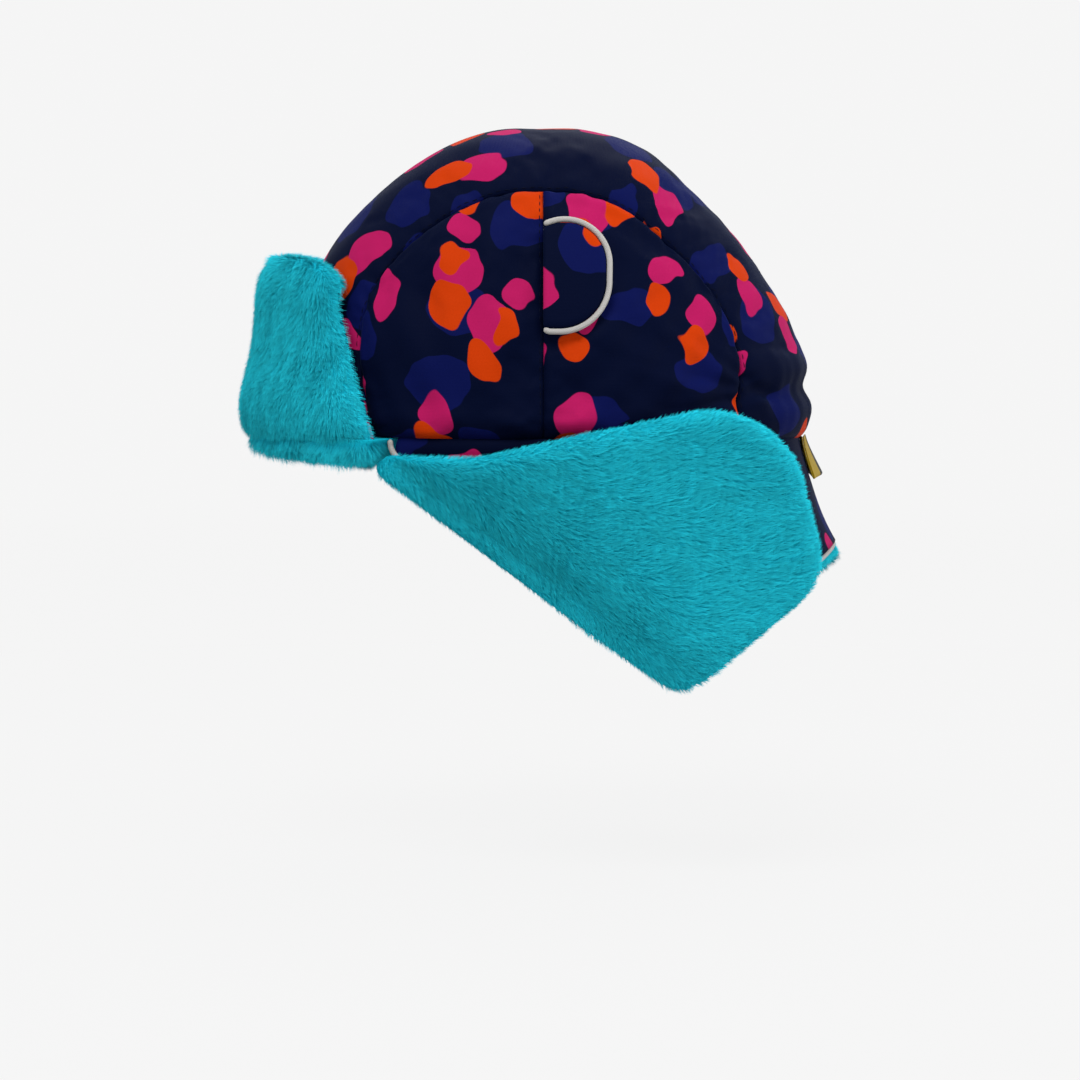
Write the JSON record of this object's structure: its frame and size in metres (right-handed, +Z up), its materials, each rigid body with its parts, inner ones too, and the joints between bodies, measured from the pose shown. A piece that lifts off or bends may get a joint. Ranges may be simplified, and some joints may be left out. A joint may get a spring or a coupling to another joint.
{
  "type": "trapper hat",
  "caption": "Padded child's trapper hat with a fur front flap turned up, a flared neck flap and long fur-lined ear lobes folded up at the sides.",
  "frame": {"origin": "centre of the head opening, in the plane of the hem", "axes": "the forehead faces -Y, the wearer's left is +X, +Z is up through the crown"},
  "size_m": [0.1986, 0.2439, 0.2232],
  "materials": {
    "print_cloth": "smooth woven microfibre, navy with pink, orange and royal blue spots, slight sheen",
    "fur": "dense turquoise faux fur with a soft sheen",
    "wadding": "matt polyester wadding",
    "lining_fleece": "short brushed fleece",
    "elastic": "ribbed woven elastic",
    "binding_tape": "plain woven tape",
    "piping": "silver grey reflective piping",
    "label_ribbon": "bare woven satin ribbon, yellow with a dark edge",
    "hook_and_loop": "matt navy hook and loop tape"
  },
  "bodies": {
    "crown": {"crown_center_strip": "print_cloth", "left_front_side_panel": "print_cloth", "left_rear_side_panel": "print_cloth", "right_front_side_panel": "print_cloth", "right_rear_side_panel": "print_cloth", "center_wadding": "wadding", "left_wadding": "wadding", "right_wadding": "wadding", "center_lining": "lining_fleece", "left_lining": "lining_fleece", "right_lining": "lining_fleece", "rear_elastic": "elastic", "hem_binding": "binding_tape", "front_fur_facing": "fur", "left_ear_base_shell": "print_cloth", "left_ear_base_fur": "fur", "left_ear_base_piping": "piping", "right_ear_base_shell": "print_cloth", "right_ear_base_fur": "fur", "right_ear_base_piping": "piping"},
    "front_flap": {"front_flap_backing": "print_cloth", "front_flap_fur": "fur"},
    "neck_flap": {"neck_flap_shell": "print_cloth", "neck_flap_fur": "fur", "neck_flap_piping": "piping", "label_loop": "label_ribbon"},
    "left_ear_lobe": {"left_ear_lobe_shell": "print_cloth", "left_ear_lobe_fur": "fur", "left_ear_lobe_piping": "piping", "chin_loop_patch": "hook_and_loop"},
    "right_ear_lobe": {"right_ear_lobe_shell": "print_cloth", "right_ear_lobe_fur": "fur", "right_ear_lobe_piping": "piping", "chin_hook_patch": "hook_and_loop"},
    "left_tab": {"left_side_tab": "print_cloth", "left_side_tab_piping": "piping"},
    "right_tab": {"right_side_tab": "print_cloth", "right_side_tab_piping": "piping"}
  },
  "joints": [
    {"name": "front_flap_fold", "type": "hinge", "parent": "crown", "child": "front_flap", "pos_m": [0, -0.12765, 0.0003], "axis": [1, 0, 0], "range_deg": [0, 45]},
    {"name": "neck_flap_swing", "type": "hinge", "parent": "crown", "child": "neck_flap", "pos_m": [0, 0.104, -0.0003], "axis": [1, 0, 0], "range_deg": [0, 35]},
    {"name": "left_ear_lobe_fold", "type": "hinge", "parent": "crown", "child": "left_ear_lobe", "pos_m": [0.07406, -0.06259, -0.0113], "axis": [0.0793, 0.8074, -0.5847], "range_deg": [0, 170]},
    {"name": "right_ear_lobe_fold", "type": "hinge", "parent": "crown", "child": "right_ear_lobe", "pos_m": [-0.07406, -0.06259, -0.0113], "axis": [0.0793, -0.8074, 0.5847], "range_deg": [0, 170]},
    {"name": "left_tab_lift", "type": "hinge", "parent": "crown", "child": "left_tab", "pos_m": [0.0744, -0.00371, 0.0628], "axis": [0.3407, 0, -0.9402], "range_deg": [0, 95]},
    {"name": "right_tab_lift", "type": "hinge", "parent": "crown", "child": "right_tab", "pos_m": [-0.0744, -0.00371, 0.0628], "axis": [0.3407, 0, 0.9402], "range_deg": [0, 95]}
  ]
}
